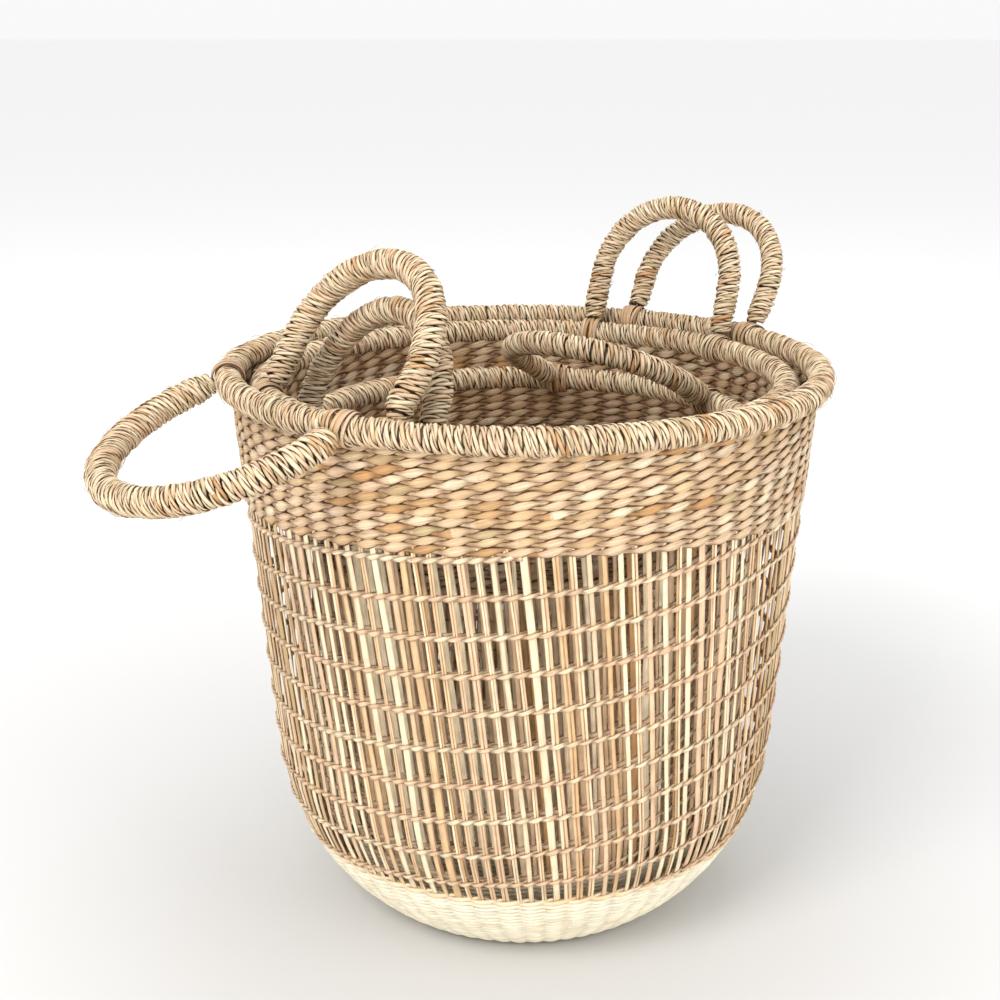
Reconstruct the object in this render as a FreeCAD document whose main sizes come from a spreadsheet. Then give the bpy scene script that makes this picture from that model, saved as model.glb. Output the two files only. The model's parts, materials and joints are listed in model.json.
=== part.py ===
"""Set of three nested seagrass storage baskets, each with a wound rim and two wound loop handles.

Frame: millimetres, +Z up, origin at the centre of the outer basket's underside.
Each basket is a base dish, an open wall of stakes held by weft rows, a close-woven band, a hoop
wound with cord, and two U-shaped handles. A handle swings about the chord between its two lashings.
"""
import FreeCAD
import Part
import Sketcher
import math
import os

SIDES = ("left", "right")
START, END, ORIGIN = 1, 2, -1    # sketch point numbers, and the sketch's own origin

COMMON_SIZES = {
    "taper": 0.08,               # wall radius lost per millimetre of depth
    "wall_inset": 1.5,           # stakes' outer face, inside the rim's centre line
    "stake_thickness": 2.4,
    "weft_tube": 2.0,            # radius of one weft strand
    "weft_gap": 0.1,
    "weft_first": 97.0,          # first open row, along the wall from the rim's centre
    "weft_pitch": 25.6,
    "band_bottom": 71.5,         # lower edge of the close band, along the wall
    "band_proud": 2.0,           # band's face, outside the stakes' face
    "band_thickness": 6.4,
    "base_proud": 1.0,
    "base_thickness": 5.0,
    "rim_tube": 9.5,
    "hoop_tube": 6.5,
    "handle_tube": 9.0,
    "handle_core": 5.5,
    "lashing_ball": 12.7,
    "hinge_clearance": 15.4,     # radius about the hinge line that the handle keeps clear of
}

BASKET_SIZES = {
    "outer": {
        "rim_radius": 200.0,
        "rim_height": 380.0,
        "floor": 0.0,
        "bend_height": 118.0,    # where the straight wall turns into the bottom curve
        "bend_radius": 160.0,
        "border_turn": 20.5,     # degrees of the bottom curve that are still open weave
        "left_azimuth": 213.9,
        "left_tilt": 110.4,      # from upright, outward
        "left_gap": 166.0,       # between the handle's feet, along its hinge line
        "left_bow": 88.0,        # radius of the handle's bow
        "left_rise": 33.0,       # from the hinge line to the middle of the bow
        "right_azimuth": 48.6,
        "right_tilt": 30.5,
        "right_gap": 110.0,
        "right_bow": 56.5,
        "right_rise": 40.8,
    },
    "middle": {
        "rim_radius": 177.3,
        "rim_height": 372.0,
        "floor": 5.6,
        "bend_height": 105.6,
        "bend_radius": 135.0,
        "border_turn": 16.5,
        "left_azimuth": 221.3,
        "left_tilt": -33.0,
        "left_gap": 130.5,
        "left_bow": 65.5,
        "left_rise": 40.5,
        "right_azimuth": 54.2,
        "right_tilt": 17.8,
        "right_gap": 112.2,
        "right_bow": 56.2,
        "right_rise": 46.9,
    },
    "inner": {
        "rim_radius": 155.0,
        "rim_height": 338.4,
        "floor": 11.2,
        "bend_height": 96.2,
        "bend_radius": 110.0,
        "border_turn": 12.0,
        "left_azimuth": 217.5,
        "left_tilt": -25.0,
        "left_gap": 134.0,
        "left_bow": 70.0,
        "left_rise": 30.0,
        "right_azimuth": 54.6,
        "right_tilt": -63.3,
        "right_gap": 132.0,
        "right_bow": 68.0,
        "right_rise": 46.0,
    },
}

doc = FreeCAD.newDocument("seagrass_baskets")
sheet = doc.addObject("Spreadsheet::Sheet", "Sizes")
finished = {}


def fill_sheet():
    rows = dict(COMMON_SIZES)
    for basket, sizes in BASKET_SIZES.items():
        for name, value in sizes.items():
            rows[f"{basket}_{name}"] = value
    for line, (name, value) in enumerate(rows.items(), start=1):
        sheet.set(f"A{line}", name)
        sheet.set(f"B{line}", str(value))
        sheet.setAlias(f"B{line}", name)
    doc.recompute()


def bind(item, **expressions):
    """Bind properties to spreadsheet expressions; a double underscore stands for a dot."""
    for name, expression in expressions.items():
        item.setExpression(name.replace("__", "."), expression)


def keep(item, label):
    item.Label = label
    finished[label] = item
    return item


def solid(kind, name, **expressions):
    item = doc.addObject(kind, name)
    bind(item, **expressions)
    return item


def cut(name, base, tool):
    item = doc.addObject("Part::Cut", name)
    item.Base = base
    item.Tool = tool
    return item


def fused(name, members):
    item = doc.addObject("Part::MultiFuse", name)
    item.Shapes = members
    return item


def together(name, members):
    """Separate solids that share one node."""
    item = doc.addObject("Part::Compound", name)
    item.Links = members
    return item


def number(expression):
    """The present value of an expression, in millimetres or as a plain ratio."""
    return float(getattr(sheet.evalExpression(expression), "Value", sheet.evalExpression(expression)))


# The wall's section: a straight taper down to the bend, then an arc down to the floor. Every function
# below returns an expression, for a point `along` the wall from the rim's centre and `out` from the
# stakes' outer face.

TAPER_ANGLE = "atan(Sizes.taper)"


def bend_corner_radius(basket):
    return (f"(Sizes.{basket}_rim_radius - Sizes.wall_inset - Sizes.taper"
            f" * (Sizes.{basket}_rim_height - Sizes.{basket}_bend_height))")


def arc_centre(basket):
    radius = f"({bend_corner_radius(basket)} - Sizes.{basket}_bend_radius * cos({TAPER_ANGLE}))"
    height = f"(Sizes.{basket}_bend_height + Sizes.{basket}_bend_radius * sin({TAPER_ANGLE}))"
    return radius, height


def on_taper(basket, along, out="0"):
    radius = (f"Sizes.{basket}_rim_radius - Sizes.wall_inset - ({along}) * sin({TAPER_ANGLE})"
              f" + ({out}) * cos({TAPER_ANGLE})")
    height = f"Sizes.{basket}_rim_height - ({along}) * cos({TAPER_ANGLE}) - ({out}) * sin({TAPER_ANGLE})"
    return radius, height


def on_arc(basket, angle, out="0"):
    centre_radius, centre_height = arc_centre(basket)
    reach = f"(Sizes.{basket}_bend_radius + ({out}))"
    return (f"{centre_radius} + {reach} * cos({angle})",
            f"{centre_height} - {reach} * sin({angle})")


def border_angle(basket):
    return f"({TAPER_ANGLE} + Sizes.{basket}_border_turn * 1 deg)"


def floor_angle(basket, out, lift="0"):
    """Angle on the arc, moved out by `out`, where it reaches the floor plus `lift`."""
    centre_height = arc_centre(basket)[1]
    return (f"asin(({centre_height} - Sizes.{basket}_floor - ({lift}))"
            f" / (Sizes.{basket}_bend_radius + ({out})))")


def taper_length(basket):
    return (f"((Sizes.{basket}_rim_height - Sizes.{basket}_bend_height) / cos({TAPER_ANGLE}))")


def on_wall(basket, along, out="0"):
    """A point on whichever stretch of the wall it lies, straight or bent."""
    if number(along) < number(taper_length(basket)):
        return on_taper(basket, along, out)
    turn = f"((({along}) - {taper_length(basket)}) / Sizes.{basket}_bend_radius * 1 rad)"
    return on_arc(basket, f"({TAPER_ANGLE} + {turn})", out)


def outline_edge(start, end, arc_radius):
    """A line, or an arc that bulges away from the axis."""
    if arc_radius is None:
        return Part.LineSegment(start, end)
    chord = end - start
    outward = FreeCAD.Vector(abs(chord.y), -abs(chord.x), 0).normalize()
    half = chord.Length / 2
    bulge = arc_radius - math.sqrt(arc_radius ** 2 - half ** 2)
    edge = Part.Arc(start, (start + end) / 2 + outward * bulge, end)
    return edge


def revolved(label, corners):
    """Body of revolution about Z. A corner is (radius, height, arc radius or None), the last for the
    edge that leads on to the next corner."""
    body = doc.addObject("PartDesign::Body", label + "_body")
    plane = next(f for f in body.Origin.OriginFeatures if f.Role == "XZ_Plane")
    sketch = body.newObject("Sketcher::SketchObject", label + "_outline")
    sketch.AttachmentSupport = [(plane, "")]
    sketch.MapMode = "FlatFace"
    places = [FreeCAD.Vector(number(radius), number(height), 0) for radius, height, _ in corners]
    following = places[1:] + places[:1]
    for start, end, corner in zip(places, following, corners):
        arc_radius = None if corner[2] is None else number(corner[2])
        sketch.addGeometry(outline_edge(start, end, arc_radius))

    def point_at(edge, place):
        nearer_start = sketch.getPoint(edge, START).distanceToPoint(place) < 1e-6
        return START if nearer_start else END

    for index, (radius, height, arc_radius) in enumerate(corners):
        before = (index - 1) % len(corners)
        here = point_at(index, places[index])
        sketch.addConstraint(Sketcher.Constraint(
            "Coincident", before, point_at(before, places[index]), index, here))
        for direction, expression in (("DistanceX", radius), ("DistanceY", height)):
            name = sketch.addConstraint(Sketcher.Constraint(
                direction, ORIGIN, START, index, here, number(expression)))
            sketch.setExpression(f"Constraints[{name}]", expression)
        if arc_radius is not None:
            name = sketch.addConstraint(Sketcher.Constraint("Radius", index, number(arc_radius)))
            sketch.setExpression(f"Constraints[{name}]", arc_radius)
    turn = body.newObject("PartDesign::Revolution", label + "_turn")
    turn.Profile = sketch
    turn.ReferenceAxis = (sketch, ["V_Axis"])
    turn.Angle = 360.0
    body.Tip = turn
    return body


def base_dish(basket):
    """Flat close-woven disc whose edge turns up to where the open stakes begin."""
    outside = "Sizes.base_proud"
    inside = "(Sizes.base_proud - Sizes.base_thickness)"
    top = f"Sizes.{basket}_floor + Sizes.base_thickness"
    foot = on_arc(basket, floor_angle(basket, outside), outside)[0]
    inner_foot = on_arc(basket, floor_angle(basket, inside, "Sizes.base_thickness"), inside)[0]
    body = revolved(f"{basket}_base", [
        ("0", f"Sizes.{basket}_floor", None),
        (foot, f"Sizes.{basket}_floor", f"Sizes.{basket}_bend_radius + {outside}"),
        (*on_arc(basket, border_angle(basket), outside), None),
        (*on_arc(basket, border_angle(basket), inside), f"Sizes.{basket}_bend_radius + {inside}"),
        (inner_foot, top, None),
        ("0", top, None),
    ])
    return keep(body, f"{basket}_base")


def stake_wall(basket):
    """The open stakes as one thin shell, from the base's border to the close band."""
    inside = "-Sizes.stake_thickness"
    body = revolved(f"{basket}_stakes", [
        (*on_taper(basket, "Sizes.band_bottom"), None),
        (*on_arc(basket, TAPER_ANGLE), f"Sizes.{basket}_bend_radius"),
        (*on_arc(basket, border_angle(basket)), None),
        (*on_arc(basket, border_angle(basket), inside), f"Sizes.{basket}_bend_radius + {inside}"),
        (*on_arc(basket, TAPER_ANGLE, inside), None),
        (*on_taper(basket, "Sizes.band_bottom", inside), None),
    ])
    return keep(body, f"{basket}_stakes")


def weft_rows(basket):
    """Pairs of rings, one on each face of the stakes."""
    border = f"({taper_length(basket)} + Sizes.{basket}_border_turn * pi / 180 * Sizes.{basket}_bend_radius)"
    offset = "(Sizes.weft_tube + Sizes.weft_gap)"
    faces = {"out": offset, "in": f"(-Sizes.stake_thickness - {offset})"}
    rings = []
    row = 0
    while number(f"Sizes.weft_first + {row + 0.4} * Sizes.weft_pitch - {border}") < 0:
        along = f"(Sizes.weft_first + {row} * Sizes.weft_pitch)"
        for face, out in faces.items():
            radius, height = on_wall(basket, along, out)
            rings.append(solid(
                "Part::Torus", f"{basket}_weft_{face}_{row}",
                Radius1=radius, Radius2="Sizes.weft_tube", Placement__Base__z=height))
        row += 1
    return keep(together(f"{basket}_weft", rings), f"{basket}_weft_rows")


def rim(basket):
    """Stiff hoop inside a tube of wound cord. Returns the whole tube, for cutting its neighbours."""
    at_rim = {"Radius1": f"Sizes.{basket}_rim_radius", "Placement__Base__z": f"Sizes.{basket}_rim_height"}
    hoop = solid("Part::Torus", f"{basket}_hoop", Radius2="Sizes.hoop_tube", **at_rim)
    tube = solid("Part::Torus", f"{basket}_rim_tube", Radius2="Sizes.rim_tube", **at_rim)
    keep(hoop, f"{basket}_rim_hoop")
    keep(cut(f"{basket}_rim_cover", tube, hoop), f"{basket}_rim_wrap")
    return tube


def close_band(basket, rim_tube):
    """Close twining under the rim, cut to sit against it."""
    top = "(Sizes.rim_tube * 0.6)"
    outside = "Sizes.band_proud"
    inside = "(Sizes.band_proud - Sizes.band_thickness)"
    body = revolved(f"{basket}_band", [
        (*on_taper(basket, top, outside), None),
        (*on_taper(basket, "Sizes.band_bottom", outside), None),
        (*on_taper(basket, "Sizes.band_bottom", inside), None),
        (*on_taper(basket, top, inside), None),
    ])
    return keep(cut(f"{basket}_band_cut", body, rim_tube), f"{basket}_band")


def chord_centre_radius(basket, side):
    return f"sqrt(Sizes.{basket}_rim_radius ^ 2 - (Sizes.{basket}_{side}_gap / 2) ^ 2)"


def chord_placement(basket, side):
    """Local X along the hinge line, Z up the handle, which leans outward by its tilt."""
    azimuth = f"(Sizes.{basket}_{side}_azimuth * 1 deg)"
    reach = chord_centre_radius(basket, side)
    return (f"create(<<placement>>; create(<<vector>>; {reach} * cos({azimuth}); {reach} * sin({azimuth});"
            f" Sizes.{basket}_rim_height); create(<<rotation>>; Sizes.{basket}_{side}_azimuth - 90; 0;"
            f" -Sizes.{basket}_{side}_tilt))")


def loop_tube(name, basket, side, tube):
    """Loop of round section in its own XZ plane: two legs that run on smoothly into a bow."""
    foot = f"(Sizes.{basket}_{side}_gap / 2)"
    bow_radius = f"Sizes.{basket}_{side}_bow"
    rise = f"Sizes.{basket}_{side}_rise"
    span = f"sqrt({foot} ^ 2 + {rise} ^ 2)"
    lean = f"((acos({bow_radius} / {span}) - atan2({rise}; {foot})) / 1 deg)"
    members = []
    for mark, sign in (("a", 1), ("b", -1)):
        leg = solid("Part::Cylinder", f"{name}_leg_{mark}", Radius=tube,
                    Height=f"sqrt({span} ^ 2 - {bow_radius} ^ 2)")
        bind(leg, Placement=f"create(<<placement>>; create(<<vector>>; {sign} * {foot}; 0; 0);"
                            f" create(<<rotation>>; 0; {-sign} * {lean}; 0))")
        members.append(leg)
    bow = solid("Part::Torus", f"{name}_bow", Radius1=bow_radius, Radius2=tube,
                Angle3=f"180 - 2 * {lean}")
    bind(bow, Placement=f"create(<<placement>>; create(<<vector>>; 0; 0; {rise});"
                        f" create(<<rotation>>; 0; -{lean}; 90))")
    return fused(name, members + [bow])


def handle(basket, side):
    """Core and wound cover of one handle, its feet hollowed to turn about the hinge line."""
    name = f"{basket}_handle_{side}"
    core = loop_tube(f"{name}_core_loop", basket, side, "Sizes.handle_core")
    tube = loop_tube(f"{name}_tube_loop", basket, side, "Sizes.handle_tube")
    hinge = solid("Part::Cylinder", f"{name}_hinge_space", Radius="Sizes.hinge_clearance",
                  Height=f"Sizes.{basket}_{side}_gap + 6 * Sizes.handle_tube",
                  Placement__Base__x=f"-Sizes.{basket}_{side}_gap / 2 - 3 * Sizes.handle_tube")
    hinge.Placement.Rotation = FreeCAD.Rotation(FreeCAD.Vector(0, 1, 0), 90)
    place = chord_placement(basket, side)
    hollow = cut(f"{name}_sleeve", tube, core)
    for label, base in (("core", core), ("wrap", hollow)):
        piece = cut(f"{name}_{label}_cut", base, hinge)
        bind(piece, Placement=place)
        keep(piece, f"{name}_{label}")


def lashing(basket, side, rim_tube, band):
    """Two bead-like lashings round the rim, one at each end of the handle's hinge line."""
    azimuth = f"(Sizes.{basket}_{side}_azimuth * 1 deg)"
    reach = chord_centre_radius(basket, side)
    beads = []
    for mark, sign in (("a", ""), ("b", "-")):
        ball = solid("Part::Sphere", f"{basket}_{side}_bead_{mark}", Radius="Sizes.lashing_ball")
        half = f"({sign}Sizes.{basket}_{side}_gap / 2)"
        bind(ball, Placement__Base__x=f"{reach} * cos({azimuth}) + {half} * sin({azimuth})",
             Placement__Base__y=f"{reach} * sin({azimuth}) - {half} * cos({azimuth})",
             Placement__Base__z=f"Sizes.{basket}_rim_height")
        ring = cut(f"{basket}_{side}_bead_{mark}_ring", ball, rim_tube)
        beads.append(cut(f"{basket}_{side}_bead_{mark}_cut", ring, band))
    keep(together(f"{basket}_{side}_beads", beads), f"{basket}_lashing_{side}")


def basket_set():
    for basket in BASKET_SIZES:
        base_dish(basket)
        stake_wall(basket)
        weft_rows(basket)
        rim_tube = rim(basket)
        band = close_band(basket, rim_tube)
        for side in SIDES:
            handle(basket, side)
            lashing(basket, side, rim_tube, band)


def check_document():
    doc.recompute()
    for item in doc.Objects:
        if "Invalid" in item.State or "Error" in item.State:
            raise RuntimeError(f"{item.Name} failed: {item.State}")
    for label, item in finished.items():
        shape = item.Shape
        if shape.isNull() or not shape.isValid() or not shape.Solids:
            raise RuntimeError(f"{label} has no valid solid")
        print(f"{label}: {len(shape.Solids)} solids, {shape.Volume / 1000:.1f} cm3")


fill_sheet()
basket_set()
check_document()
os.makedirs("parts", exist_ok=True)
for node, item in finished.items():
    item.Shape.exportStep(os.path.join("parts", node + ".step"))
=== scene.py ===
"""Looks of the nested seagrass baskets: wound cords, twined weave, stakes and lashings."""
import json
import math

import bpy
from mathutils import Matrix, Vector
import numpy as np


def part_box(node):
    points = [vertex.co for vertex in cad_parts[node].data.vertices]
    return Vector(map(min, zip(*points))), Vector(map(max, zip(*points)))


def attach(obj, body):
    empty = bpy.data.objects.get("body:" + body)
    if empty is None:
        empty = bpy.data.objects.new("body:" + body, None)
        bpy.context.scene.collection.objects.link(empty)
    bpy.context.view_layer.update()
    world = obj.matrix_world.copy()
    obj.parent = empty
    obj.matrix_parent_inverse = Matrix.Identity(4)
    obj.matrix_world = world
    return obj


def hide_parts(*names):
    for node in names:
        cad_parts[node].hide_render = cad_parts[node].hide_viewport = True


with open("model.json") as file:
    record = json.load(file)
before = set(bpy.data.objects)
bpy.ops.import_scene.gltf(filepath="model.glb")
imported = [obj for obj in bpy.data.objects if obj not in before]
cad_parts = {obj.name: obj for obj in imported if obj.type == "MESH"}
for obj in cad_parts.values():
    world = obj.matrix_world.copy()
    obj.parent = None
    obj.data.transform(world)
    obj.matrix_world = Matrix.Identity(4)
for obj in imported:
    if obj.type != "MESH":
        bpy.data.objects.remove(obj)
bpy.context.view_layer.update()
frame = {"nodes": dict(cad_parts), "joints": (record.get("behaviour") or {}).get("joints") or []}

MM = 0.001
TAU = 2.0 * math.pi

# Sizes that the three baskets share, in millimetres.
TAPER = 0.08
WALL_INSET = 1.5
BASE_PROUD = 1.0
STAKE_MID = -1.2             # middle of the stakes, from their outer face
BAND_BOTTOM = 71.5           # along the wall from the rim's centre, at the front
BAND_SAG = 12.0              # how much lower the band reaches at the sides
BAND_TOP = 7.0
BAND_ROWS = 11
WEFT_FIRST = 97.0
WEFT_PITCH = 25.6
WEFT_STARTS = 4              # strands spiral up together, so the rows rise to the right
STAKE_LEAN = 7.5             # degrees of azimuth that a stake drifts over the wall's height
STAKE_THICK = 0.6            # half of a stake's thickness
TUCKED_UNDER = 5.0           # how far the stakes reach up behind the band
BASE_OVERLAP = 12.0          # how far the stakes reach down behind the base's first rows
BASE_ROW = 4.6
BASE_LOBE = 9.0              # shortest lobe in the base, where it closes in to the hub
TURN_IN = 7.0                # length over which the bend turns in to the flat base
HUB = 5.0                    # radius of the button in the middle of the base
CORD_PITCH = 4.6             # from one turn of winding to the next
CORD_TWIST = 27.0            # length of one full twist of the plies
HANDLE_PITCH = 4.5
CORD_HALF = 2.05             # half of the wound cord's own thickness
TURN_INSET = 2.0             # from the tube's outside to the line along which a turn is measured
WIND_STEPS = 20              # points in one turn of winding
PLY_LIFT = 0.75              # how far a twisted leaf rises from the cord's middle
PLY_ASIDE = 1.35             # and how far it goes to the side
WISP_EVERY = 14.0            # a loose fibre stands out of the cord about this often
FOOT = 11.9                  # how near the handle's wound foot comes to the hinge line
FOOT_TAPER = 10.0            # length over which a foot swells to its full thickness
FOOT_SLIM = 0.7              # a foot's thickness at its end, against the rest of the handle
TIE_TURNS = 7
TIE_WIDTH = 13.0             # along the rim
TIE_SLANT = 3.2
TIE_RADIUS = 9.9             # about the rim's centre line, at the ends of a tie
TIE_BULGE = 1.1

BASKETS = {
    "outer": {"bend_height": 118.0, "bend_radius": 160.0, "border_turn": 20.5, "stakes": 128,
              "stake_widths": (3.0, 4.8), "seed": 11},
    "middle": {"bend_height": 105.6, "bend_radius": 135.0, "border_turn": 16.5, "stakes": 112,
               "stake_widths": (4.6, 6.6), "seed": 23},
    "inner": {"bend_height": 96.2, "bend_radius": 110.0, "border_turn": 12.0, "stakes": 100,
              "stake_widths": (4.8, 7.0), "seed": 37},
}
SIDES = ("left", "right")

# Each handle's gap between its feet, radius and rise of its bow, and extra thickness of its cord.
LOOPS = {
    "outer_left": (166.0, 88.0, 33.0, 1.3),
    "outer_right": (110.0, 56.5, 40.8, 0.0),
    "middle_left": (130.5, 65.5, 40.5, 1.2),
    "middle_right": (112.2, 56.2, 46.9, 0.3),
    "inner_left": (134.0, 70.0, 30.0, 0.6),
    "inner_right": (132.0, 68.0, 46.0, 0.3),
}


# ---------------------------------------------------------------- materials

# Linear colours of the dried leaves. The dark brown at the end is painted shade where one leaf goes
# under another, along strand edges and on inner faces, and also the colour of the fibre streaks.
STRAW = (0.82, 0.57, 0.32)
HONEY = (0.78, 0.53, 0.29)
PALE = (0.98, 0.83, 0.57)
GREENISH = (0.62, 0.50, 0.28)
PINKISH = (0.87, 0.61, 0.40)
SANDY = (0.86, 0.64, 0.40)
DEEP = (0.66, 0.36, 0.15)
CREAM = (0.99, 0.92, 0.72)
BISCUIT = (0.95, 0.83, 0.60)
SHADE_AND_STREAK_BROWN = (0.105, 0.044, 0.011)

NOISE_LOW, NOISE_HIGH = 0.32, 0.68    # the range that most of a noise texture lies in

# How the noise is stretched along a leaf, across it and from leaf to leaf, with its detail.
FIBRES = ((0.05, 2.6, 1.0), 4.0)
PATCHES = ((0.07, 0.15, 3.7), 2.0)


def node(tree, kind, **inputs):
    made = tree.nodes.new(kind)
    for name, value in inputs.items():
        made.inputs[name.replace("_", " ")].default_value = value
    return made


def link(tree, source, output, target, socket):
    tree.links.new(source.outputs[output], target.inputs[socket])


def spread(tree, source, output, low, high):
    """Stretch the middle of a noise texture to the range from low to high."""
    stretched = node(tree, "ShaderNodeMapRange", From_Min=NOISE_LOW, From_Max=NOISE_HIGH,
                     To_Min=low, To_Max=high)
    link(tree, source, output, stretched, "Value")
    return stretched


def grass_material(name, colours, streak=0.35, gap=0.5, roughness=0.6, bump=0.5):
    """Dried grass: a tone for each leaf, fine fibres along it, and painted shade in dark brown
    where leaves go under one another, along strand edges and on inner faces.

    The mesh carries three attributes: `strand` (distance along, distance across, leaf number),
    `tone` for each leaf, and an amount of painted shade, which is 1 where a leaf goes under
    another.
    `gap` sets how strongly the painted shade darkens the leaf.
    """
    material = bpy.data.materials.new(name)
    material.use_nodes = True
    tree = material.node_tree
    shader = tree.nodes["Principled BSDF"]
    shader.inputs["Roughness"].default_value = roughness
    shader.inputs["Specular IOR Level"].default_value = 0.35
    reads = {}
    for title in ("strand", "tone", "tuck"):
        reads[title] = tree.nodes.new("ShaderNodeAttribute")
        reads[title].attribute_name = title

    leaf = tree.nodes.new("ShaderNodeValToRGB")
    ramp = leaf.color_ramp
    ramp.elements[0].position, ramp.elements[0].color = colours[0][0], (*colours[0][1], 1)
    ramp.elements[1].position, ramp.elements[1].color = colours[-1][0], (*colours[-1][1], 1)
    for position, colour in colours[1:-1]:
        ramp.elements.new(position).color = (*colour, 1)
    link(tree, reads["tone"], "Fac", leaf, "Fac")

    noises = []
    for scale, detail in (FIBRES, PATCHES):
        stretch = node(tree, "ShaderNodeMapping", Scale=scale)
        link(tree, reads["strand"], "Vector", stretch, "Vector")
        noise = node(tree, "ShaderNodeTexNoise", Scale=1.0, Detail=detail, Roughness=0.6)
        link(tree, stretch, "Vector", noise, "Vector")
        noises.append(noise)
    fibres, patches = noises

    blotch = node(tree, "ShaderNodeVectorMath")
    blotch.operation = "SCALE"
    tree.links.new(leaf.outputs["Color"], blotch.inputs[0])
    link(tree, spread(tree, patches, "Fac", 0.82, 1.08), "Result", blotch, "Scale")

    # Painted shade: the shade amount times `gap`, plus the fibre streaks, mixes the leaf towards
    # the dark brown.
    shade_and_streaks = tree.nodes.new("ShaderNodeMath")
    shade_and_streaks.operation = "MULTIPLY_ADD"
    shade_and_streaks.use_clamp = True
    tree.links.new(reads["tuck"].outputs["Fac"], shade_and_streaks.inputs[0])
    shade_and_streaks.inputs[1].default_value = gap
    tree.links.new(spread(tree, fibres, "Fac", streak, 0.0).outputs["Result"], shade_and_streaks.inputs[2])

    mixed = tree.nodes.new("ShaderNodeMix")
    mixed.data_type = "RGBA"
    tree.links.new(shade_and_streaks.outputs[0], mixed.inputs["Factor"])
    tree.links.new(blotch.outputs["Vector"], mixed.inputs[6])
    mixed.inputs[7].default_value = (*SHADE_AND_STREAK_BROWN, 1)
    tree.links.new(mixed.outputs[2], shader.inputs["Base Color"])

    relief = node(tree, "ShaderNodeBump", Strength=bump, Distance=0.0006)
    link(tree, fibres, "Fac", relief, "Height")
    link(tree, relief, "Normal", shader, "Normal")
    return material


def cane_material():
    material = bpy.data.materials.new("cane")
    material.use_nodes = True
    tree = material.node_tree
    shader = tree.nodes["Principled BSDF"]
    shader.inputs["Roughness"].default_value = 0.55
    place = tree.nodes.new("ShaderNodeTexCoord")
    grain = node(tree, "ShaderNodeTexNoise", Scale=180.0, Detail=5.0)
    link(tree, place, "Object", grain, "Vector")
    ramp = tree.nodes.new("ShaderNodeValToRGB")
    ramp.color_ramp.elements[0].color = (0.035, 0.016, 0.006, 1)
    ramp.color_ramp.elements[1].color = (0.10, 0.05, 0.022, 1)
    link(tree, grain, "Fac", ramp, "Fac")
    link(tree, ramp, "Color", shader, "Base Color")
    return material


MATERIALS = {
    "cord": grass_material("seagrass_cord", [
        (0.0, DEEP), (0.06, STRAW), (0.25, PALE), (0.5, PINKISH), (0.7, PALE), (0.93, PALE),
        (1.0, GREENISH)], streak=0.5, gap=0.95),
    "weave": grass_material("seagrass_weave", [
        (0.0, GREENISH), (0.08, DEEP), (0.12, HONEY), (0.4, SANDY), (0.7, PINKISH), (0.95, PALE),
        (1.0, PALE)], streak=0.55, gap=1.0),
    "stake": grass_material("seagrass_stakes", [
        (0.0, GREENISH), (0.08, DEEP), (0.16, HONEY), (0.5, PINKISH), (0.8, PALE), (1.0, PALE)],
        streak=0.38, gap=0.75),
    "base": grass_material("seagrass_base", [
        (0.0, STRAW), (0.3, BISCUIT), (0.45, CREAM), (1.0, CREAM)], streak=0.16, gap=0.35),
    "lashing": grass_material("lashing_leaf", [
        (0.0, DEEP), (0.3, STRAW), (0.7, PINKISH), (1.0, PALE)],
        roughness=0.5, streak=0.5, gap=0.8),
    "cane": cane_material(),
}


# ---------------------------------------------------------------- meshes

def unit(vectors):
    return vectors / np.maximum(np.linalg.norm(vectors, axis=-1, keepdims=True), 1e-12)


def walked_along(points):
    """Distance from the first point to each of the others."""
    return np.concatenate([[0.0], np.cumsum(np.linalg.norm(np.diff(points, axis=0), axis=1))])


def spaced(places, distances, vectors):
    """The vectors, given at some distances, worked out at other places."""
    return np.stack([np.interp(places, distances, vectors[:, axis]) for axis in range(3)], -1)


def wobble(rng, count, spacing, size):
    """Smooth random values along `count` steps, changing every `spacing` steps."""
    knots = rng.normal(0.0, 1.0, int(count / spacing) + 4)
    places = np.arange(count) / spacing
    low = np.floor(places).astype(int)
    blend = places - low
    blend = blend * blend * (3.0 - 2.0 * blend)
    return size * (knots[low] * (1.0 - blend) + knots[low + 1] * blend)


def leaf_tones(rng, length, typical):
    """A tone and a leaf number at each distance `length`, stepping from one leaf to the next."""
    ends = np.cumsum(rng.uniform(0.5, 1.5, int(length[-1] / typical) + 4) * typical)
    leaf = np.searchsorted(ends, length)
    return rng.uniform(0.0, 1.0, len(ends) + 1)[leaf], leaf


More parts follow.
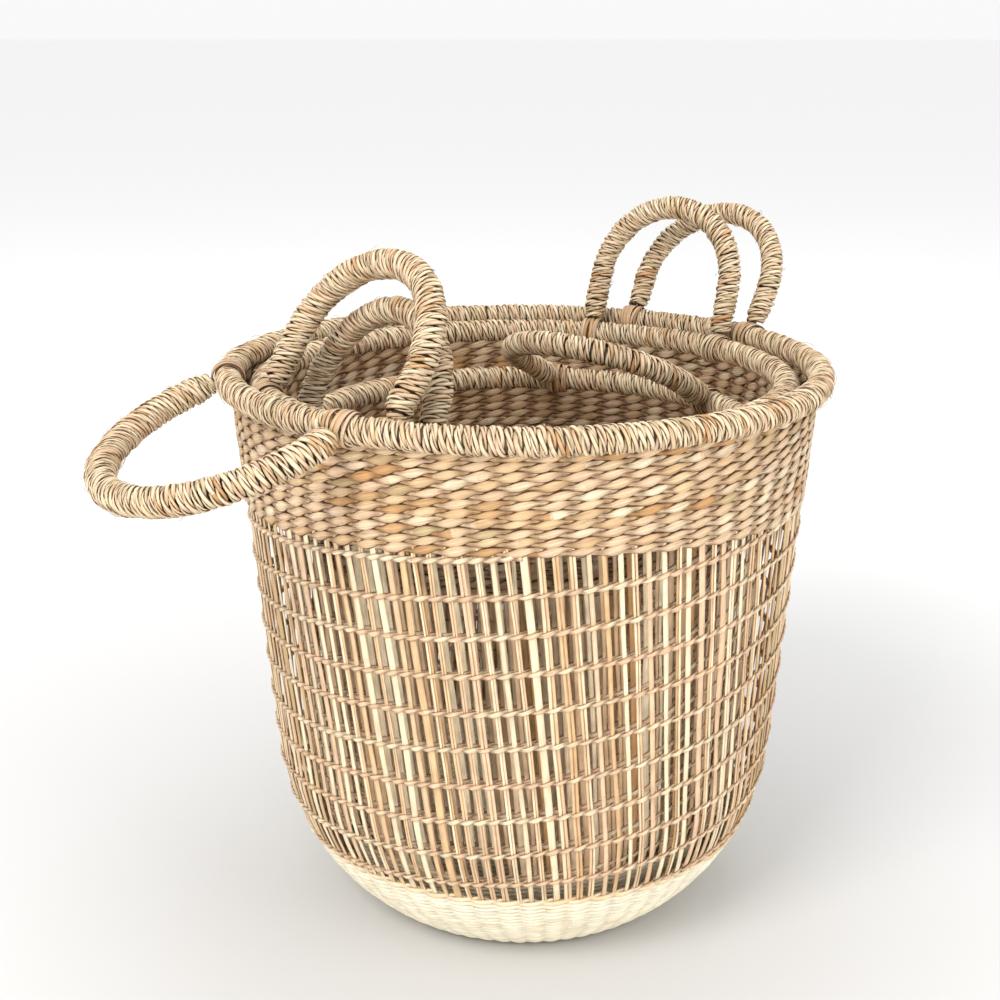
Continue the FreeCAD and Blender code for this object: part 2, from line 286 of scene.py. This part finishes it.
class Strands:
    """Collects swept strands and makes one mesh of them."""

    def __init__(self):
        self.points = []
        self.faces = []
        self.strand = []
        self.tone = []
        self.tuck = []
        self.count = 0

    def add(self, centre, normal, half_width, half_thick, tone, tuck=0.0, edge=0.8, sides=8,
            closed=False, leaf=0.0, square=1.0):
        """Sweep an oval section along `centre`; `normal` points out of the woven surface."""
        centre = np.asarray(centre, float)
        steps = len(centre)
        if closed:
            ahead = np.roll(centre, -1, 0) - np.roll(centre, 1, 0)
        else:
            ahead = np.gradient(centre, axis=0)
        tangent = unit(ahead)
        normal = unit(normal - tangent * np.sum(normal * tangent, -1, keepdims=True))
        across = np.cross(normal, tangent)
        angle = np.arange(sides) * TAU / sides
        out = np.sign(np.sin(angle)) * np.abs(np.sin(angle)) ** square
        side = np.sign(np.cos(angle)) * np.abs(np.cos(angle)) ** square
        half_width = np.broadcast_to(half_width, steps)[:, None, None]
        half_thick = np.broadcast_to(half_thick, steps)[:, None, None]
        ring = (centre[:, None, :] + across[:, None, :] * side[None, :, None] * half_width
                + normal[:, None, :] * out[None, :, None] * half_thick)
        strand = np.zeros((steps, sides, 3))
        strand[..., 0] = walked_along(centre)[:, None] / MM
        strand[..., 1] = side[None, :] * half_width[..., 0] / MM
        strand[..., 2] = np.broadcast_to(leaf, steps)[:, None]
        first = self.count + np.arange(steps)[:, None] * sides
        here = first + np.arange(sides)[None, :]
        beside = first + (np.arange(sides)[None, :] + 1) % sides
        if closed:
            rows = np.arange(steps)
            after = (rows + 1) % steps
        else:
            rows = np.arange(steps - 1)
            after = rows + 1
        quads = np.stack([here[rows], beside[rows], beside[after], here[after]], -1).reshape(-1, 4)
        self.faces.append(quads)
        if not closed:
            self.faces.append(self.cap(here[0], False))
            self.faces.append(self.cap(here[-1], True))
        self.points.append(ring.reshape(-1, 3))
        self.strand.append(strand.reshape(-1, 3))
        self.tone.append(np.repeat(np.broadcast_to(tone, steps), sides))
        # Painted shade: the amount given for each point, plus more on the inner face and, scaled by
        # `edge`, along the strand's sides.
        shaded = 0.28 * (0.5 - 0.5 * out) + edge * np.abs(side) ** 6
        painted_shade_here = np.broadcast_to(tuck, steps)[:, None] + shaded[None, :]
        self.tuck.append(np.clip(painted_shade_here, 0.0, 1.0).reshape(-1))
        self.count += steps * sides

    @staticmethod
    def cap(ring, flip):
        """Close an open end with quads across the ring (the ring has an even number of points)."""
        count = len(ring)
        half = count // 2
        quads = [[ring[i], ring[i + 1], ring[count - 2 - i], ring[count - 1 - i]]
                 for i in range(half - 1)]
        quads = np.array(quads)
        return quads if flip else quads[:, ::-1]

    def piece(self, name, material, body, slot, *replaced):
        points = np.concatenate(self.points)
        faces = np.concatenate(self.faces)
        mesh = bpy.data.meshes.new(name)
        mesh.vertices.add(len(points))
        mesh.vertices.foreach_set("co", points.ravel())
        mesh.loops.add(faces.size)
        mesh.loops.foreach_set("vertex_index", faces.ravel().astype(np.int32))
        mesh.polygons.add(len(faces))
        mesh.polygons.foreach_set("loop_start", (np.arange(len(faces)) * 4).astype(np.int32))
        mesh.polygons.foreach_set("use_smooth", np.ones(len(faces), bool))
        mesh.update(calc_edges=True)
        mesh.validate()
        attribute = mesh.attributes.new("strand", "FLOAT_VECTOR", "POINT")
        attribute.data.foreach_set("vector", np.concatenate(self.strand).ravel())
        for title, values in (("tone", self.tone), ("tuck", self.tuck)):
            attribute = mesh.attributes.new(title, "FLOAT", "POINT")
            attribute.data.foreach_set("value", np.concatenate(values).ravel())
        mesh.materials.append(MATERIALS[material])
        made = bpy.data.objects.new(name, mesh)
        bpy.context.collection.objects.link(made)
        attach(made, body)
        if replaced:
            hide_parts(*replaced)
        return made


# ---------------------------------------------------------------- basket surface

FULL_REACH = 500.0           # how far beyond the straight wall the section is worked out
BEND_REACH = 400.0           # and how far the search for the end of the bend goes
HALVINGS = 40


class Wall:
    """The wall's section, from the rim down, round the bend and in to the middle of the base.

    `at(along, azimuth, out)` gives points in metres; `out` is measured from the stakes' outer face.
    """

    def __init__(self, basket, sizes):
        low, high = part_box(f"{basket}_rim_wrap")
        self.basket = basket
        self.body = f"{basket}_basket"
        self.tube = (high.z - low.z) / 2 / MM
        self.rim_radius = (high.x - low.x) / 2 / MM - self.tube
        self.rim_height = (high.z + low.z) / 2 / MM
        self.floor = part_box(f"{basket}_base")[0].z / MM + BASE_PROUD
        self.sizes = sizes
        self.stakes = sizes["stakes"]
        slope = math.atan(TAPER)
        self.straight = (self.rim_height - sizes["bend_height"]) / math.cos(slope)
        self.border = self.straight + math.radians(sizes["border_turn"]) * sizes["bend_radius"]
        self.grid = np.arange(0.0, self.straight + FULL_REACH, 1.0)
        lowest, highest = self.straight, self.straight + BEND_REACH
        for _ in range(HALVINGS):
            turn_in = (lowest + highest) / 2
            self.build(turn_in, slope)
            if self.height[-1] > self.floor:
                lowest = turn_in
            else:
                highest = turn_in
        self.centre = float(np.interp(0.0, -self.radius, self.grid))

    def build(self, turn_in, slope):
        bend = slope + np.maximum(self.grid - self.straight, 0.0) / self.sizes["bend_radius"]
        into = np.clip((self.grid - turn_in) / TURN_IN, 0.0, 1.0)
        into = into * into * (3.0 - 2.0 * into)
        start = slope + (turn_in - self.straight) / self.sizes["bend_radius"]
        bend = np.minimum(bend, start)
        self.angle = bend * (1.0 - into) + math.pi / 2 * into
        middle = (self.angle[1:] + self.angle[:-1]) / 2
        inward = np.concatenate([[0.0], np.cumsum(np.sin(middle))])
        self.radius = self.rim_radius - WALL_INSET - inward
        self.height = self.rim_height - np.concatenate([[0.0], np.cumsum(np.cos(middle))])

    def at(self, along, azimuth, out):
        along, azimuth, out = np.broadcast_arrays(along, azimuth, out)
        angle = np.interp(along, self.grid, self.angle)
        radius = np.interp(along, self.grid, self.radius) + out * np.cos(angle)
        height = np.interp(along, self.grid, self.height) - out * np.sin(angle)
        return np.stack([radius * np.cos(azimuth), radius * np.sin(azimuth), height], -1) * MM

    def normal(self, along, azimuth):
        along, azimuth = np.broadcast_arrays(along, azimuth)
        angle = np.interp(along, self.grid, self.angle)
        return np.stack([np.cos(angle) * np.cos(azimuth), np.cos(angle) * np.sin(azimuth),
                         -np.sin(angle)], -1)

    def stake_drift(self, along):
        return math.radians(STAKE_LEAN) * (np.asarray(along) - BAND_BOTTOM) / 250.0


def twine(strands, wall, along, azimuth, phase, rise, depth, width, thick, rng, pointed=0.45,
          closed=False, leaf_length=80.0, tone_low=0.0, tone_high=1.0, edge=0.8):
    """Two plies twisted round the stakes along one row. `phase` is pi for every lobe. Shade is
    painted where a ply climbs between the lobes, and `edge` sets the painted shade along its sides.
    """
    length = walked_along(wall.at(along, azimuth, STAKE_MID)) / MM
    for ply in (0.0, math.pi):
        turn = phase + ply
        outward = np.cos(turn)
        climbing = np.sin(turn)
        uneven = wobble(rng, len(along), 9, 0.10)
        centre = wall.at(along - rise * climbing, azimuth, STAKE_MID + depth * outward)
        fullness = (1.0 - pointed) + pointed * outward ** 2
        tone, leaf = leaf_tones(rng, length, leaf_length)
        tone = tone_low + (tone_high - tone_low) * tone
        # Painted shade where the ply climbs between lobes, under its neighbours.
        strands.add(centre, wall.normal(along, azimuth), width * fullness * (1 + uneven) * MM,
                    thick * (1 + uneven) * MM, tone, tuck=0.38 * np.abs(climbing) ** 5, edge=edge,
                    leaf=leaf + 17.0 * ply, closed=closed)


def row_azimuths(steps_per_lobe, lobes):
    return np.linspace(0.0, TAU, lobes * steps_per_lobe, endpoint=False)


def band_edge(azimuth):
    """How far down the wall the band reaches: least at the front and back, most at the sides."""
    return BAND_BOTTOM + BAND_SAG * (0.5 + 0.5 * np.cos(2.0 * azimuth))


def close_band(wall, rng):
    """Close twining under the rim; each lobe covers two stakes."""
    strands = Strands()
    lobes = wall.stakes // 2
    azimuth = row_azimuths(9, lobes)
    bottom = band_edge(azimuth)
    for row in range(BAND_ROWS):
        share = (row + 0.5) / BAND_ROWS
        along = BAND_TOP + share * (bottom - BAND_TOP) + wobble(rng, len(azimuth), 25, 0.25)
        spacing = (bottom - BAND_TOP) / BAND_ROWS
        phase = lobes / 2 * (azimuth - wall.stake_drift(along)) + rng.normal(0.0, 0.35)
        # Painted shade along the sides of the band's strands at full strength (`edge`).
        twine(strands, wall, along, azimuth, phase, rise=spacing * 0.27, depth=1.2,
              width=spacing * 0.60, thick=1.15, rng=rng, pointed=0.50, closed=True, edge=1.0)
    return strands.piece(f"{wall.basket}_band_weave", "weave", wall.body, "seagrass_weave",
                         f"{wall.basket}_band")


def weft_rows(wall, rng):
    """Open rows: two-ply strands that spiral up together from the base's border to the band."""
    strands = Strands()
    lead = WEFT_PITCH * WEFT_STARTS
    front = -math.pi / 2
    for start in range(WEFT_STARTS):
        first = front - (wall.border - WEFT_FIRST - WEFT_PITCH * start) / lead * TAU
        last = front - (BAND_BOTTOM - WEFT_FIRST - WEFT_PITCH * start) / lead * TAU
        steps = int((last - first) / TAU * wall.stakes * 6)
        azimuth = np.linspace(first, last, steps)
        along = WEFT_FIRST + WEFT_PITCH * start - lead * (azimuth - front) / TAU
        along = along + wobble(rng, steps, 40, 0.5)
        phase = wall.stakes / 2 * (azimuth - wall.stake_drift(along))
        # Light painted shade along the sides of the open rows' strands (`edge`).
        twine(strands, wall, along, azimuth, phase, rise=0.85, depth=1.5, width=1.7, thick=0.9,
              rng=rng, pointed=0.2, leaf_length=60.0, tone_low=0.5, edge=0.25)
    return strands.piece(f"{wall.basket}_weft_cords", "weave", wall.body, "seagrass_weave",
                         f"{wall.basket}_weft_rows")


def stake_strips(wall, rng):
    """Flat upright stakes, uneven in width, some of them split in two."""
    strands = Strands()
    step = TAU / wall.stakes
    for index in range(wall.stakes):
        along = np.linspace(band_edge(index * step) - TUCKED_UNDER, wall.border + BASE_OVERLAP, 38)
        centre = index * step + wall.stake_drift(along)
        radius = np.interp(along, wall.grid, wall.radius)
        centre = centre + wobble(rng, len(along), 9, 0.5) / radius + rng.normal(0.0, 0.35) / 180.0
        width = rng.uniform(*wall.sizes["stake_widths"]) * (1.0 + wobble(rng, len(along), 8, 0.06))
        split = rng.random() < 0.3
        shares = ((-0.27, 0.5), (0.27, 0.46)) if split else ((0.0, 1.0),)
        for shift, share in shares:
            lift = wobble(rng, len(along), 5, 0.15) + (0.25 if shift > 0 else 0.0)
            points = wall.at(along, centre + shift * width / radius, STAKE_MID + lift)
            lean = wobble(rng, len(along), 12, 0.12)
            normal = wall.normal(along, centre + lean)
            # A little painted shade along the stakes' sides (`edge`).
            strands.add(points, normal, width / 2 * share * MM, STAKE_THICK * MM,
                        rng.uniform(0.0, 1.0), edge=0.3, leaf=index * 2.3 + share, square=0.6)
    return strands.piece(f"{wall.basket}_stake_strips", "stake", wall.body, "seagrass_weave",
                         f"{wall.basket}_stakes")


def base_weave(wall, rng):
    """Close fine twining from the border round the bend and in to the middle."""
    strands = Strands()
    edge = wall.border + 1.5
    rows = int((wall.centre - HUB - edge) / BASE_ROW) + 1
    for row in range(rows):
        along = edge + row * BASE_ROW
        radius = float(np.interp(along, wall.grid, wall.radius))
        lobes = wall.stakes // 2
        while TAU * radius / lobes < BASE_LOBE and lobes > 8:
            lobes //= 2
        lobes += lobes % 2
        azimuth = row_azimuths(7, lobes)
        line = along + wobble(rng, len(azimuth), 20, 0.15)
        line[-1] = line[0]
        phase = lobes / 2 * (azimuth - wall.stake_drift(along))
        border_row = row == 0
        twine(strands, wall, line, azimuth, phase, rise=0.9 if border_row else 0.7,
              depth=1.4 if border_row else 0.8, width=2.6, thick=1.1, rng=rng, pointed=0.25,
              closed=True, leaf_length=50.0,
              tone_low=0.0 if border_row else 0.3, tone_high=0.3 if border_row else 1.0)
    height = wall.at(wall.centre, 0.0, STAKE_MID)[2]
    hub = np.array([[0.0, 0.0, height - 1.8 * MM], [0.0, 0.0, height + 1.8 * MM]])
    # The hub's painted shade is cancelled so that its sides don't darken.
    strands.add(hub, np.array([[1.0, 0.0, 0.0]] * 2), HUB * MM, HUB * MM, 0.6,
                tuck=-1.0, sides=16)
    return strands.piece(f"{wall.basket}_base_weave", "base", wall.body, "seagrass_base",
                         f"{wall.basket}_base")


# ---------------------------------------------------------------- wound cord

# Share of a twist, half-width and half-thickness of each leaf in the cord.
PLIES = (
    (0.0, 1.50, 0.95),
    (0.42, 1.35, 0.90),
    (0.71, 0.80, 0.60),
)


def wind(strands, spine, reference, outer_radius, rng, pitch=CORD_PITCH, radius_scale=None):
    """Wind a cord of twisted leaves round a spine, whose points have the normals `reference`."""
    lengths = walked_along(spine) / MM
    total = lengths[-1]
    count = int(round(total / pitch)) * WIND_STEPS
    place = np.linspace(0.0, total, count, endpoint=False)
    place = np.clip(place + wobble(rng, count, 17, 0.32) + wobble(rng, count, 5, 0.14), 0.0, total)
    spin = np.arange(count) * TAU / WIND_STEPS
    centre = spaced(place, lengths, spine)
    tangent = unit(spaced(place, lengths, unit(np.gradient(spine, axis=0))))
    normal = spaced(place, lengths, reference)
    normal = unit(normal - tangent * np.sum(normal * tangent, -1, keepdims=True))
    side = np.cross(tangent, normal)
    radial = normal * np.cos(spin)[:, None] + side * np.sin(spin)[:, None]
    scale = np.ones(count) if radius_scale is None else np.interp(place, lengths, radius_scale)
    cord_radius = (outer_radius - CORD_HALF) * scale + wobble(rng, count, 23, 0.22)
    walked = np.cumsum(np.full(count, TAU * (outer_radius - TURN_INSET) / WIND_STEPS))
    twist = walked / CORD_TWIST * TAU + wobble(rng, count, 40, 1.2)
    for share, half_width, half_thick in PLIES:
        turn = twist + share * TAU
        lift = PLY_LIFT * np.cos(turn)
        aside = PLY_ASIDE * np.sin(turn) + wobble(rng, count, 7, 0.18)
        points = (centre + radial * ((cord_radius + lift) * MM)[:, None]
                  + tangent * (aside * MM)[:, None])
        size = 1.0 + wobble(rng, count, 8, 0.14)
        lean = radial + tangent * (0.5 * np.sin(turn) + wobble(rng, count, 9, 0.2))[:, None]
        tone, leaf = leaf_tones(rng, walked, 60.0)
        # Painted shade where a leaf turns down under the others in the cord.
        strands.add(points, lean, half_width * size * MM, half_thick * size * MM, tone,
                    tuck=0.35 * (0.5 - 0.5 * np.cos(turn)), sides=6, leaf=leaf + 31.0 * share)
    for _ in range(int(total / WISP_EVERY)):
        start = rng.integers(0, count - 12)
        some = slice(start, start + rng.integers(6, 12))
        rising = np.linspace(0.0, 1.0, some.stop - some.start) ** 2 * rng.uniform(0.8, 2.6)
        drift = np.linspace(0.0, rng.uniform(-5.0, 5.0), some.stop - some.start)
        points = (centre[some] + radial[some] * ((cord_radius[some] + 1.4 + rising) * MM)[:, None]
                  + tangent[some] * (drift * MM)[:, None])
        # Less painted shade on the loose fibres, so they stay lighter than the cord.
        strands.add(points, radial[some], 0.22 * MM, 0.18 * MM, rng.uniform(0.2, 0.8),
                    tuck=-0.3, sides=4)


def rim_cord(wall, rng):
    strands = Strands()
    azimuth = np.linspace(0.0, TAU, 721)
    spine = np.stack([np.cos(azimuth), np.sin(azimuth), np.zeros_like(azimuth)], -1)
    reference = spine.copy()
    spine = spine * wall.rim_radius * MM
    spine[:, 2] = (wall.rim_height + wobble(rng, 721, 60, 0.12)) * MM
    wind(strands, spine, reference, wall.tube, rng)
    return strands.piece(f"{wall.basket}_rim_cord", "cord", wall.body, "seagrass_cord",
                         f"{wall.basket}_rim_wrap")


class Hinge:
    """Where a handle turns and how its loop lies at rest, read from the frame."""

    def __init__(self, basket, side):
        joint = next(j for j in frame["joints"] if j["name"] == f"{basket}_{side}_swing")
        self.body = joint["child"]
        self.centre = np.array(joint["pos_m"])
        self.chord = np.array(joint["axis"])
        self.gap, self.bow, self.rise, self.fatter = LOOPS[f"{basket}_{side}"]
        cover = frame["nodes"][f"{self.body}_wrap"].data
        points = np.array([v.co for v in cover.vertices]) - self.centre
        middle = points.mean(0) - self.chord * (points.mean(0) @ self.chord)
        self.up = middle / np.linalg.norm(middle)
        self.normal = np.cross(self.chord, self.up)
        self.tube = float(np.abs(points @ self.normal).max()) / MM


def loop_path(hinge):
    """Points of one leg, the bow that it runs on into, and the other leg.

    Each has its distance along the hinge line and its height up the loop.
    """
    foot = hinge.gap / 2
    span = math.hypot(foot, hinge.rise)
    lean = math.acos(hinge.bow / span) - math.atan2(hinge.rise, foot)
    bend = np.linspace(lean, math.pi - lean, 120)
    bow = np.stack([hinge.bow * np.cos(bend), hinge.rise + hinge.bow * np.sin(bend)], -1)
    share = np.linspace(0.0, 1.0, 200, endpoint=False)[:, None]
    leg = np.array([foot, 0.0]) * (1.0 - share) + bow[0] * share
    path = np.concatenate([leg, bow, leg[::-1] * [-1, 1]])
    return path[path[:, 1] >= FOOT]


def handle_cord(hinge, rng):
    """A loop of wound cord whose feet taper towards the lashings."""
    strands = Strands()
    path = loop_path(hinge)
    sway = wobble(rng, len(path), 60, 0.5)
    spine = (hinge.centre + np.outer(path[:, 0], hinge.chord) * MM
             + np.outer(path[:, 1], hinge.up) * MM + np.outer(sway, hinge.normal) * MM)
    reference = np.tile(hinge.normal, (len(spine), 1))
    taper = np.clip((path[:, 1] - FOOT) / FOOT_TAPER, 0.0, 1.0)
    wind(strands, spine, reference, hinge.tube + hinge.fatter, rng, pitch=HANDLE_PITCH,
         radius_scale=FOOT_SLIM + (1.0 - FOOT_SLIM) * np.sqrt(taper))
    return strands.piece(f"{hinge.body}_cord", "cord", hinge.body, "seagrass_cord",
                         f"{hinge.body}_wrap")


UPWARD = np.array([0.0, 0.0, 1.0])


def lashings(wall, side, hinge, rng):
    """Narrow leaves wound round the rim at each end of the handle, crossing one another."""
    strands = Strands()
    around = np.linspace(0.0, TAU, 40, endpoint=False)
    for end in (-1.0, 1.0):
        place = hinge.centre + hinge.chord * end * hinge.gap / 2 * MM
        azimuth = math.atan2(place[1], place[0])
        for turn in range(TIE_TURNS):
            share = (turn + 0.5) / TIE_TURNS - 0.5
            slant = rng.uniform(-TIE_SLANT, TIE_SLANT)
            shift = share * TIE_WIDTH + slant * np.sin(around + rng.uniform(0, TAU))
            here = azimuth + shift / wall.rim_radius
            radius = (TIE_RADIUS + TIE_BULGE * (1.0 - (2.0 * share) ** 2)
                      + rng.uniform(-0.2, 0.2))
            spoke = np.stack([np.cos(here), np.sin(here), np.zeros_like(here)], -1)
            normal = spoke * np.cos(around)[:, None] + UPWARD * np.sin(around)[:, None]
            centre = spoke * wall.rim_radius * MM + UPWARD * wall.rim_height * MM
            # A little painted shade over the whole of each tie, more at its edges.
            strands.add(centre + normal * radius * MM, normal, rng.uniform(1.1, 1.7) * MM,
                        0.55 * MM, rng.uniform(0.0, 1.0), tuck=0.15, closed=True,
                        leaf=turn * 3.1 + end)
    return strands.piece(f"{wall.basket}_{side}_ties", "lashing", wall.body, "lashing_fibre",
                         f"{wall.basket}_lashing_{side}")


def dress_basket(basket, sizes):
    wall = Wall(basket, sizes)
    rng = np.random.default_rng(sizes["seed"])
    close_band(wall, rng)
    weft_rows(wall, rng)
    stake_strips(wall, rng)
    base_weave(wall, rng)
    rim_cord(wall, rng)
    for side in SIDES:
        hinge = Hinge(basket, side)
        handle_cord(hinge, rng)
        lashings(wall, side, hinge, rng)
        for hidden in (f"{basket}_rim_hoop", f"{hinge.body}_core"):
            core = frame["nodes"][hidden]
            for slot in core.material_slots:
                slot.material = MATERIALS["cane"]


# ---------------------------------------------------------------- stage, light, camera

def plain_material(name, colour, roughness):
    material = bpy.data.materials.new(name)
    material.use_nodes = True
    shader = material.node_tree.nodes["Principled BSDF"]
    shader.inputs["Base Color"].default_value = (*colour, 1)
    shader.inputs["Roughness"].default_value = roughness
    return material


FLOOR_SIZE = 160.0
SHADOWED_NEAR = (0.1, 0.56)      # distance from the middle, in metres, and the paper's brightness there, darkened as painted shadow of the baskets
PALE_FAR = (1.7, 0.95)


def floor():
    """Plain paper with a painted shadow: greyer around the baskets than far away."""
    bpy.ops.mesh.primitive_plane_add(size=FLOOR_SIZE, location=(0, 0, -0.5 * MM))
    ground = bpy.context.object
    ground.name = "floor"
    paper = plain_material("paper", (0.9, 0.9, 0.9), 0.9)
    tree = paper.node_tree
    place = tree.nodes.new("ShaderNodeTexCoord")
    distance = tree.nodes.new("ShaderNodeVectorMath")
    distance.operation = "LENGTH"
    link(tree, place, "Object", distance, 0)
    shade = node(tree, "ShaderNodeMapRange", From_Min=SHADOWED_NEAR[0], From_Max=PALE_FAR[0],
                 To_Min=SHADOWED_NEAR[1], To_Max=PALE_FAR[1])
    link(tree, distance, "Value", shade, "Value")
    link(tree, shade, "Result", tree.nodes["Principled BSDF"], "Base Color")
    ground.data.materials.append(paper)


def area_light(name, place, target, size, power, colour=(1, 1, 1)):
    data = bpy.data.lights.new(name, "AREA")
    data.shape = "RECTANGLE"
    data.size = size[0]
    data.size_y = size[1]
    data.energy = power
    data.color = colour
    lamp = bpy.data.objects.new(name, data)
    lamp.location = place
    lamp.rotation_euler = (Vector(target) - Vector(place)).to_track_quat("-Z", "Y").to_euler()
    bpy.context.collection.objects.link(lamp)
    return lamp


def lights():
    world = bpy.data.worlds.new("studio")
    world.use_nodes = True
    world.node_tree.nodes["Background"].inputs["Color"].default_value = (1, 1, 1, 1)
    world.node_tree.nodes["Background"].inputs["Strength"].default_value = 0.95
    bpy.context.scene.world = world
    area_light("key", (-1.2, -1.8, 2.2), (0, 0, 0.2), (1.2, 1.2), 52.0, (1.0, 0.98, 0.95))
    area_light("low", (0.2, -2.2, 0.25), (0, 0, 0.12), (1.6, 0.5), 16.0, (1.0, 0.98, 0.95))
    area_light("fill", (1.8, -1.2, 1.2), (0, 0, 0.2), (1.5, 1.5), 14.0)
    area_light("top", (0.2, 0.8, 2.4), (0, 0, 0.2), (1.5, 1.5), 14.0)


CAMERA_BACK = 1.040
CAMERA_RISE = 0.2227         # above the outer rim's centre
CAMERA_PITCH = 17.10
CAMERA_HEADING = 0.493
CAMERA_SHIFT = (-0.0115, 0.0028)
FOCAL_LENGTH = 55.6848
SENSOR = 36.0


def camera(rim_height):
    data = bpy.data.cameras.new("camera")
    data.sensor_width = SENSOR
    data.lens = FOCAL_LENGTH
    data.shift_x, data.shift_y = CAMERA_SHIFT
    data.clip_start = 0.01
    view = bpy.data.objects.new("camera", data)
    view.location = (0.0, -CAMERA_BACK, rim_height + CAMERA_RISE)
    view.rotation_euler = (math.radians(90.0 - CAMERA_PITCH), 0.0, math.radians(CAMERA_HEADING))
    bpy.context.collection.objects.link(view)
    bpy.context.scene.camera = view


low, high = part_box("outer_rim_wrap")
camera((low.z + high.z) / 2)
floor()
lights()
for basket, sizes in BASKETS.items():
    dress_basket(basket, sizes)
bpy.context.scene.view_settings.view_transform = "Standard"
